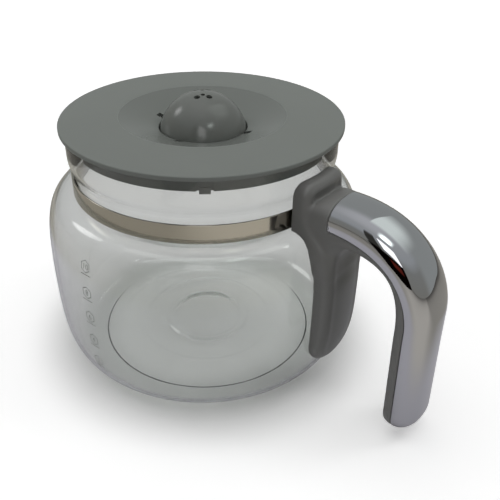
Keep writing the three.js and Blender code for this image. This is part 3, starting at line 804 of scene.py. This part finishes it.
def greyMoulding():
    h, m = handle, moulding
    xs, ys, zs = (np.arange(a, b, m.step) for a, b in zip(m.low, m.high))
    side = upright(np.stack(np.meshgrid(xs, zs, indexing="ij"), -1).reshape(-1, 2))
    spread = (len(xs), 1, len(zs))
    armDepth = -signedDistance(side, armSide()).reshape(spread)
    innerFace = signedDistance(side, innerFaceSide()).reshape(spread)
    coverSide = np.vstack([seamLine(), [(m.coverFar, h.seamEnd), (m.coverFar, m.coverAbove),
                                        (h.coverFront, m.coverAbove)]])
    underCover = signedDistance(side, coverSide).reshape(spread) - h.seamGap
    x, y, z = xs[:, None, None], ys[None, :, None], zs[None, None, :]

    # arm and grip: rounded section, flat on its inner side, with a broad flat top at its root
    root = np.clip((h.coverFront - x) / (h.coverFront - h.rollOutside), 0, 1) ** m.rootEase
    half = h.halfWidth + (h.rootHalf - h.halfWidth) * root
    square = h.squareness + (h.rootSquareness - h.squareness) * root
    deep = np.maximum(h.roundDeep - armDepth, 0) / h.roundDeep
    arm = (half + h.roundDeep) / 2 * (((np.abs(y) / half) ** square + deep ** square) ** (1 / square) - 1)
    arm = softCut(arm, innerFace, m.faceEdge)

    # tail and shield, crowned across, with the thumb roll on top
    axis = h.tailOutside - m.tailCrown
    foot = bend((m.tailFrom - axis, m.strapBottom), (m.tailCrown, m.strapBottom + m.tailToe),
                (m.tailCrown, m.strapBottom + m.tailFull), m.profileSteps)
    waist = m.waist - axis
    shoulder = bezier((m.tailCrown, m.tailUpright), (m.tailCrown, glass.shoulder), (waist, glass.shoulder),
                      (waist, glass.bandTop), m.profileSteps)
    profile = np.vstack([foot, shoulder])
    middle = axis + np.interp(zs, profile[:, 1], profile[:, 0])[None, None, :]
    rollSide = np.hypot(x - h.rollOutside + m.rollCrown, y) - (m.rollCrown - m.rollRadius)
    rollUp = z - (m.strapTop - m.rollRadius)
    roll = np.hypot(np.maximum(rollSide, 0), np.maximum(rollUp, 0)) - m.rollRadius
    roll = roll + np.minimum(np.maximum(rollSide, rollUp), 0)
    roll = np.maximum(roll, glass.bandTop - m.rollRadius - z)
    low = m.strapBottom + m.halfWidth
    acrossOut = np.abs(y) - m.halfWidth + m.topCorner
    upOut = z - m.strapTop + m.topCorner
    upper = np.hypot(np.maximum(acrossOut, 0), np.maximum(upOut, 0)) - m.topCorner
    upper = upper + np.minimum(np.maximum(acrossOut, upOut), 0)
    front = np.where(z < low, np.hypot(y, z - low) - m.halfWidth, upper)
    # the shield has a raised bead a little inside its edge, the tail a faint ridge there
    shield = np.clip((z - m.beadFrom) / (m.beadTo - m.beadFrom), 0, 1)
    shield = shield ** 2 * (3 - 2 * shield)
    bead = m.beadHigh * (np.exp(-((front + m.beadIn) / m.beadWide) ** 2) - 1)
    ridge = m.ridgeHigh * np.exp(-((front + m.ridgeIn) / m.ridgeWide) ** 2) - y ** 2 / (2 * m.tailCrown)
    tail = x - middle - shield * bead - (1 - shield) * ridge
    strap = softCut(softJoin(tail, roll, m.rollJoin), front, m.edgeRound)

    # soft joins, then the room for glass, screws, band ears, nut and cover
    high = np.clip((z - m.creaseFrom) / (m.creaseTo - m.creaseFrom), 0, 1)
    whole = softJoin(strap, arm, m.creaseLow + (m.creaseHigh - m.creaseLow) * high)
    outline = offset(glassOutside(), h.gap)
    bowl = np.interp(zs, outline[:, 1], outline[:, 0])
    bowl = np.where(zs > glass.bellyHeight, np.maximum(bowl, h.neckSeat), bowl)[None, None, :]
    whole = softCut(whole, bowl - np.hypot(x, y), m.bowlEdge)
    for height in m.screwHeights:
        hole = np.maximum(np.hypot(y, z - height) - m.screwHole,
                          np.abs(x - h.inside - gripLean(height)) - m.screwDeep)
        whole = softCut(whole, -hole, m.holeEdge)
    fromX, fromZ = x - m.clampX, z - m.clampZ
    clampHole = np.maximum(np.hypot(fromX, fromZ) - m.clampHole, m.clampFrom - y)
    whole = softCut(whole, -clampHole, m.holeEdge)
    ears = np.maximum(np.abs(np.abs(y) - band.earMiddle) - m.earHalf,
                      np.abs(fromZ) - band.height / 2 - h.gap)
    whole = np.maximum(whole, -np.maximum(ears, x - band.earEnd - h.gap))
    nut = np.maximum(np.maximum(np.abs(fromX), np.abs(fromZ)) - m.nutHalf,
                     np.maximum(-y - m.nutTo, y + m.nutFrom))
    whole = np.maximum(whole, -nut)
    whole = softCut(whole, -underCover, m.coverEdge)

    points, faces = surfaceNet(whole, m.low, m.step)
    near = np.abs(signedDistance(upright(points[:, [0, 2]]), coverSide) - h.seamGap)
    points = relax(points, faces, np.clip(near / m.seamReach, m.seamMove, 1), m.smoothRounds)
    mesh = meshFrom("grey_handle", points, faces.tolist())
    mesh.materials.append(handleLook)
    mesh.shade_smooth()
    place(addObject("grey_handle", mesh), "carafe", "handle_plastic", "handle_body")


greyMoulding()


# screws: domed head with a cross recess, head seat at zero
# each kind has a head radius, a head height, a shank radius and a length

screw = Sizes(cover=(3.0, 2.0, 1.5, 5.6), coverInset=3.1, clamp=(3.2, 2.2, 1.75, 10.0), clampSeat=3.05,
              domePull=0.8, domeEdge=0.45, domeSteps=8, tip=0.5, recessHalf=0.13, recessReach=0.56,
              recessFloor=0.35, threadPitch=0.8, threadDepth=0.22, sides=40, sharp=35)


def screwPiece(name, kind, toWorld):
    s = screw
    head, high, shank, length = kind
    turns = int(length / s.threadPitch)
    thread = [(shank - s.threadDepth * (i % 2), -i * s.threadPitch / 2) for i in range(1, 2 * turns)]
    outline = joined(bend((0, high), (head * s.domePull, high), (head, high * s.domeEdge), s.domeSteps),
                     [(head, 0), (shank, 0)], thread, [(shank * s.tip, -length), (0, -length)])
    piece = turned(name, outline, s.sides, zincLook)
    half, reach = head * s.recessHalf, head * s.recessReach
    for turn in (0, 90):
        tool = boxTool((-reach, -half, high * s.recessFloor), (reach, half, high + cutPast))
        piece = ringed(piece, ringCut, tool, 1, turn, zincLook)
    piece.data.transform(toWorld)
    smoothed(piece.data, s.sharp)
    return piece


def allScrews():
    s, m = screw, moulding
    tool = screwPiece("cover_screw_tool", s.cover, Matrix.Rotation(math.radians(-90), 4, "Y"))
    spots = [(handle.inside + s.coverInset + gripLean(z), 0, z) for z in m.screwHeights]
    source = addObject("screw_spots", meshFrom("screw_spots", spots, []))
    piece = runTree("cover_screws", source, copies, {"Tool": tool, "Material": zincLook})
    bpy.data.objects.remove(tool)
    smoothed(piece.data, s.sharp)
    place(piece, "carafe", "zinc_steel", "cover_screw_lower", "cover_screw_upper")
    seat = Matrix.Translation(Vector((m.clampX, s.clampSeat, m.clampZ)) * mm)
    clamp = screwPiece("band_clamp_screw", s.clamp, seat @ Matrix.Rotation(math.radians(-90), 4, "X"))
    place(clamp, "carafe", "zinc_steel", "clamp_screw")


allScrews()
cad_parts["clamp_nut"].data.materials.clear()
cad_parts["clamp_nut"].data.materials.append(zincLook)


# lid: disc with a sunk middle and drain slots

lid = Sizes(radius=62, under=111.9, topEdge=113.8, crown=114.5, dishRadius=36.8, dishFloor=108.8,
            hubInside=19.45, hubWall=1.85, hubBottom=104.6, wall=1.9, ribRadius=46, ribWall=1.5,
            ribDepth=2.4, drains=4, drainTurn=14, drainWide=3.2, drainFrom=18.7, drainTo=23.3, edge=0.3,
            rimLow=0.35, rimHigh=0.6, dishRound=1.2, footRound=0.8, hubRound=0.6, underRound=1.0,
            segments=192, sharp=40)


def lidDisc():
    d = lid
    slope = (d.crown - d.dishFloor) / (d.dishRadius - d.hubInside)
    drop = d.wall * math.hypot(1, slope)
    foot = d.dishRadius - (d.crown - drop - d.under) / slope
    hubOutside = d.hubInside + d.hubWall
    rib, ribBottom = d.ribRadius - d.ribWall, d.under - d.ribDepth
    outline = rounded([
        (d.hubInside, d.hubBottom, d.edge), (hubOutside, d.hubBottom, d.edge),
        (hubOutside, d.dishFloor + slope * d.hubWall - drop, d.hubRound), (foot, d.under, d.underRound),
        (rib, d.under, d.edge), (rib, ribBottom, d.edge), (d.ribRadius, ribBottom, d.edge),
        (d.ribRadius, d.under, d.edge), (d.radius, d.under, d.rimLow), (d.radius, d.topEdge, d.rimHigh),
        (d.dishRadius, d.crown, d.dishRound), (d.hubInside, d.dishFloor, d.footRound)])
    piece = turned("lid_plate", closed(outline), d.segments, lidLook)
    tool = boxTool((d.drainFrom, -d.drainWide / 2, d.hubBottom - cutPast),
                   (d.drainTo, d.drainWide / 2, d.crown + cutPast))
    piece = ringed(piece, ringCut, tool, d.drains, d.drainTurn, lidLook)
    smoothed(piece.data, d.sharp)
    place(piece, "lid", "lid_plastic", "lid_disc")


lidDisc()


# dome in the middle of the lid, each pair of vents with its turn, distance from the axis and radius

dome = Sizes(radius=19.4, centre=104.6, wall=1.6, foot=104.3, flange=21.3, flangeHigh=1.4, edge=0.3,
             innerEdge=0.2, seatEdge=0.1,
             ventPairs=((-74, 5.2, 1.35), (-14, 5.2, 1.35), (-44, 3.0, 0.95)), ventSides=20,
             innerSteps=40, outerSteps=48, segments=144, sharp=40)


def ventedDome():
    d = dome
    inner = d.radius - d.wall
    low = d.foot - d.flangeHigh
    outline = joined(arc((0, d.centre), inner, 90, 0, d.innerSteps),
                     rounded([(inner, low, d.innerEdge), (d.flange, low, d.edge), (d.flange, d.foot, d.edge),
                              (d.radius, d.foot, d.seatEdge)]),
                     arc((0, d.centre), d.radius, 0, 90, d.outerSteps))
    piece = turned("vent_dome", outline, d.segments, domeLook)
    for turn, ring, radius in d.ventPairs:
        tool = rodTool(radius, d.radius + d.wall, d.ventSides)
        lean = math.asin(ring / d.radius)
        tool.data.transform(Matrix.Translation((0, 0, d.centre * mm)) @ Matrix.Rotation(lean, 4, "Y"))
        piece = ringed(piece, ringCut, tool, 2, turn, domeLook)
    smoothed(piece.data, d.sharp)
    place(piece, "lid", "dome_plastic", "drip_dome")


ventedDome()


# snap ring below the lid: a skirt with tabs between slits, each tab with a nib that reaches lower

skirt = Sizes(outside=57.6, wall=1.9, top=111.6, depth=5.7, flange=1.6, flangeInside=46.3, tabs=4,
              tabTurn=-47, tabWide=4.3, slit=1.0, slitDeep=1.1, reach=0.7, nib=0.4, nibHigh=1.9, edge=0.3,
              insideRound=0.6, lowRound=0.5, sharp=40)


def snapRing():
    d = skirt
    inside = d.outside - d.wall
    bottom = d.top - d.depth
    below = d.top - d.flange
    outline = rounded([
        (d.flangeInside, below, d.edge), (inside, below, d.insideRound), (inside, bottom, d.lowRound),
        (d.outside, bottom, d.lowRound), (d.outside, d.top, d.edge), (d.flangeInside, d.top, d.edge)])
    piece = turned("lid_snap_ring", closed(outline), lid.segments, lidLook)
    half = d.tabWide / 2
    for y in (half, -half - d.slit):
        tool = boxTool((d.outside - d.slitDeep, y, bottom - cutPast),
                       (d.outside + cutPast, y + d.slit, below))
        piece = ringed(piece, ringCut, tool, d.tabs, d.tabTurn, lidLook)
    tool = boxTool((inside + d.nib, -half, bottom - d.reach), (d.outside + d.nib, half, bottom + d.nibHigh))
    piece = ringed(piece, ringJoin, tool, d.tabs, d.tabTurn, lidLook)
    smoothed(piece.data, d.sharp)
    place(piece, "lid", "lid_plastic", "lid_skirt")


snapRing()


# floor, lamps, surroundings and camera, in metres

# the mirrored colours are painted reflection, the paper's colour as only metal sees it
studio = Sizes(floorSize=8, floorDrop=0.00005, floorColour="f4f4f4", mirroredNear="d6d5da",
               mirroredLeft="b8b5ac", mirroredRight="e4e0d6", mirrorFrom=0.14, mirrorTo=0.19,
               leftEnd=0.04, rightEnd=0.19, farEnd=0.06, bowlLift=0.13, bowlFrom=0.0406, bowlTo=0.058,
               paperLift=0.38, paperFrom=0.062, paperTo=0.096, edgeLift=0.5, edgeFrom=0.25, edgeTo=0.8,
               aim=0.08, ambient=0.2, farWall="a0a4a2", farFrom=0.1, farTo=0.5,
               walls=((0.0, "8a8a84"), (0.42, "8c8e8b"), (0.62, "a8acae"), (0.85, "b0b3b4"),
                      (1.0, "c8cacc")))
lamps = dict(top_softbox=dict(azimuth=0, elevation=90, far=1.1, size=1.2, power=7.5, shape="SQUARE"),
             left_softbox=dict(azimuth=197, elevation=37, far=0.9, size=0.35, power=1.1, shape="DISK"),
             right_softbox=dict(azimuth=44, elevation=48, far=0.9, size=0.25, power=0.8, shape="DISK"))
# panels that only mirrors show: corner, two sides, colour, strength and how softly each edge fades
panels = dict(
    near_lamp=dict(corner=(0.115, -0.105, 0.25), sides=((0.075, 0, 0), (0, 0.085, 0)), colour="f4fffa",
                   strength=5.0, soft=(0.45, 0.45, 0.3, 0.6)),
    ceiling_glow=dict(corner=(0.05, 0.0, 0.9), sides=((0.9, 0, 0), (0, 1.4, 0)), colour="f6fffa",
                      strength=1.0, soft=(0.02, 0.7, 0.15, 0.6)),
    white_window=dict(corner=(0.13, -0.24, 0.187), sides=((0.14, 0, 0), (0, 0, 0.165)), colour="ffffff",
                      strength=2.0, soft=(0.02, 0.02, 0.02, 0.02)),
    dark_board=dict(corner=(0.05, -0.214, 0.0), sides=((0.21, 0, 0.07), (0, 0, 0.12)), colour="140c08",
                    strength=0.3, soft=(0.05, 0.05, 0.02, 0.05)),
    brown_stripe=dict(corner=(0.12, -0.212, 0.07), sides=((0.09, 0, 0.03), (0, 0, 0.05)), colour="6a2a20",
                      strength=0.8, soft=(0.1, 0.1, 0.3, 0.3)),
    dark_post=dict(corner=(0.05, -0.26, 0.1), sides=((0.06, 0, 0), (0, 0, 0.33)), colour="3c3c38",
                   strength=1.0, soft=(0.1, 0.1, 0.02, 0.4)))
anyBounce = 0.5  # a depth above this means at least one bounce


def paleFloor():
    s = studio
    half, low = s.floorSize / 2, -s.floorDrop
    mesh = bpy.data.meshes.new("floor")
    mesh.from_pydata([(-half, -half, low), (half, -half, low), (half, half, low), (-half, half, low)], [],
                     [(0, 1, 2, 3)])
    material, add, coords = startMaterial("pale_paper")
    path = add("ShaderNodeLightPath")
    mirrored = add("ShaderNodeMath", {0: path.outputs["Glossy Depth"], 1: anyBounce},
                   operation="GREATER_THAN")
    away = add("ShaderNodeVectorMath", {0: coords}, operation="LENGTH")
    spot = add("ShaderNodeSeparateXYZ", {0: coords})
    ease = {}
    for name, value, start, end, first, last in (
            ("right", spot.outputs["X"], s.leftEnd, s.rightEnd, 0.0, 1.0),
            ("nearSide", spot.outputs["Y"], s.farEnd, 0.0, 0.0, 1.0),
            ("beyond", away, s.mirrorFrom, s.mirrorTo, 0.0, 1.0),
            ("paper", away, s.paperFrom, s.paperTo, 0.0, s.paperLift),
            ("edge", away, s.edgeFrom, s.edgeTo, 0.0, s.edgeLift),
            ("bowl", away, s.bowlFrom, s.bowlTo, s.bowlLift, 0.0)):
        ease[name] = add("ShaderNodeMapRange",
                         {"Value": value, "From Min": start, "From Max": end, "To Min": first,
                          "To Max": last}, interpolation_type="SMOOTHSTEP")
    # painted reflection: metal mirrors the paper in colours painted greyer, warmer and lighter near the
    # object's right side
    nearRight = add("ShaderNodeMath", {0: ease["right"], 1: ease["nearSide"]}, operation="MULTIPLY")
    beyond = add("ShaderNodeMix", {0: nearRight, 6: linear(s.mirroredLeft), 7: linear(s.mirroredRight)},
                 data_type="RGBA")
    reflected = add("ShaderNodeMix", {0: ease["beyond"], 6: linear(s.mirroredNear), 7: beyond},
                    data_type="RGBA")
    shade = add("ShaderNodeMix", {0: mirrored, 6: linear(s.floorColour), 7: reflected}, data_type="RGBA")
    paper = add("ShaderNodeBsdfDiffuse", {"Color": shade})
    # the paper is lit up to white away from the object
    lift = add("ShaderNodeMath", {0: ease["paper"], 1: ease["edge"]}, operation="ADD")
    plain = add("ShaderNodeMath", {0: path.outputs["Is Camera Ray"], 1: lift}, operation="MULTIPLY")
    # light that the bowl gathers brightens the paper under it
    clear = add("ShaderNodeMath", {0: path.outputs["Is Transmission Ray"], 1: mirrored},
                operation="SUBTRACT", use_clamp=True)
    seen = add("ShaderNodeMath", {0: clear, 1: ease["bowl"], 2: plain}, operation="MULTIPLY_ADD")
    glow = add("ShaderNodeEmission", {"Strength": seen})
    both = add("ShaderNodeAddShader", {0: paper, 1: glow})
    add("ShaderNodeOutputMaterial", {"Surface": both})
    mesh.materials.append(material)
    addObject("floor", mesh)


def mirrorPanel(name, corner, sides, colour, strength, soft):
    first = np.array(corner)
    along, up = np.array(sides)
    mesh = bpy.data.meshes.new(name)
    mesh.from_pydata([first, first + along, first + along + up, first + up], [], [(0, 1, 2, 3)])
    spread = mesh.uv_layers.new(name="spread")
    spread.data.foreach_set("uv", (0, 0, 1, 0, 1, 1, 0, 1))
    material, add, _ = startMaterial(name)
    spot = add("ShaderNodeSeparateXYZ", {0: add("ShaderNodeUVMap")})
    share = 1.0
    for axis, edge, wide in (("X", 0, soft[0]), ("X", 1, -soft[1]), ("Y", 0, soft[2]), ("Y", 1, -soft[3])):
        share = add("ShaderNodeMapRange",
                    {"Value": spot.outputs[axis], "From Min": edge, "From Max": edge + wide,
                     "To Max": share}, interpolation_type="SMOOTHSTEP")
    glow = add("ShaderNodeEmission", {"Color": linear(colour), "Strength": strength})
    clear = add("ShaderNodeBsdfTransparent")
    both = add("ShaderNodeMixShader", {0: share, 1: clear, 2: glow})
    add("ShaderNodeOutputMaterial", {"Surface": both})
    mesh.materials.append(material)
    panel = addObject(name, mesh)
    panel.visible_camera = panel.visible_diffuse = panel.visible_transmission = panel.visible_shadow = False


def towards(azimuth, elevation):
    a, e = math.radians(azimuth), math.radians(elevation)
    return Vector((math.cos(a) * math.cos(e), math.sin(a) * math.cos(e), math.sin(e)))


def facingPanel(name, azimuth, elevation, far, size, strength, soft):
    out = towards(azimuth, elevation)
    across = Vector((0, 0, 1)).cross(out).normalized() * size
    up = out.cross(across)
    corner = out * far + Vector((0, 0, studio.aim)) - (across + up) / 2
    mirrorPanel(name, corner, (across, up), "ffffff", strength, (soft, soft, soft, soft))


def lamp(name, azimuth, elevation, far, size, power, shape):
    light = bpy.data.lights.new(name, "AREA")
    light.shape, light.size, light.energy = shape, size, power
    holder = addObject(name, light)
    out = towards(azimuth, elevation)
    holder.location = Vector((0, 0, studio.aim)) + out * far
    holder.rotation_euler = out.to_track_quat("Z", "Y").to_euler()
    holder.visible_glossy = False


def surroundings():
    s = studio
    world = bpy.data.worlds.new("white_studio")
    world.use_nodes = True
    scene.world = world
    world.node_tree.nodes.clear()
    add = partial(addNode, world.node_tree)
    path = add("ShaderNodeLightPath")
    # white for the eye, also through glass, but dimmer for the light that falls on things
    scattered = add("ShaderNodeMath", {0: path.outputs["Diffuse Depth"], 1: anyBounce},
                    operation="GREATER_THAN")
    direct = add("ShaderNodeMath",
                 {0: path.outputs["Is Camera Ray"], 1: path.outputs["Is Transmission Ray"]},
                 operation="MAXIMUM")
    seen = add("ShaderNodeMath", {0: direct, 1: scattered}, operation="SUBTRACT", use_clamp=True)
    strength = add("ShaderNodeMapRange", {"Value": seen, "To Min": s.ambient, "To Max": 1.0})
    plain = add("ShaderNodeBackground", {"Color": (1, 1, 1, 1), "Strength": strength})
    # bright metal mirrors grey walls that grow lighter upwards, and one plain wall on the far side
    direction = add("ShaderNodeTexCoord").outputs["Generated"]
    up = add("ShaderNodeSeparateXYZ", {0: direction})
    ramp = add("ShaderNodeValToRGB", {"Fac": up.outputs["Z"]})
    stops = ramp.color_ramp.elements
    while len(stops) < len(s.walls):
        stops.new(1.0)
    for stop, (height, colour) in zip(stops, s.walls):
        stop.position, stop.color = height, linear(colour)
    farSide = add("ShaderNodeMapRange",
                  {"Value": up.outputs["Y"], "From Min": s.farFrom, "From Max": s.farTo},
                  interpolation_type="SMOOTHSTEP")
    walls = add("ShaderNodeMix", {0: farSide, 6: ramp, 7: linear(s.farWall)}, data_type="RGBA")
    room = add("ShaderNodeBackground", {"Color": walls})
    glossy = add("ShaderNodeMath", {0: path.outputs["Glossy Depth"], 1: anyBounce},
                 operation="GREATER_THAN")
    mirrored = add("ShaderNodeMath", {0: glossy, 1: scattered}, operation="SUBTRACT", use_clamp=True)
    both = add("ShaderNodeMixShader", {0: mirrored, 1: plain, 2: room})
    add("ShaderNodeOutputWorld", {"Surface": both})


def photoCamera():
    # placed by the lid's, band's and bowl's edges in the photograph
    view = Sizes(pitch=32.74, yaw=4.63, roll=1.07, handleTurn=43, away=268.6, high=215.8, focal=640,
                 image=500, sensor=36)
    pitch, yaw, roll, turn = (math.radians(view[k]) for k in ("pitch", "yaw", "roll", "handleTurn"))
    ahead = Vector((math.sin(yaw) * math.cos(pitch), math.cos(yaw) * math.cos(pitch), -math.sin(pitch)))
    right = Vector((math.cos(yaw), -math.sin(yaw), 0))
    up = right.cross(ahead)
    right, up = math.cos(roll) * right + math.sin(roll) * up, math.cos(roll) * up - math.sin(roll) * right
    looks = Matrix((right, up, -ahead)).transposed().to_4x4()
    data = bpy.data.cameras.new("photo_camera")
    data.sensor_width = view.sensor
    data.lens = view.focal / view.image * view.sensor
    camera = addObject("photo_camera", data)
    spot = Matrix.Translation(Vector((0, -view.away, view.high)) * mm)
    camera.matrix_world = Matrix.Rotation(turn, 4, "Z") @ spot @ looks
    scene.camera = camera


paleFloor()
for name, values in lamps.items():
    lamp(name, **values)
facingPanel("left_wall", azimuth=197, elevation=37, far=0.9, size=0.36, strength=3.2, soft=0.4)
for name, values in panels.items():
    mirrorPanel(name, **values)
surroundings()
photoCamera()
scene.view_settings.view_transform = "Standard"
print("floor, lamps and camera ready")
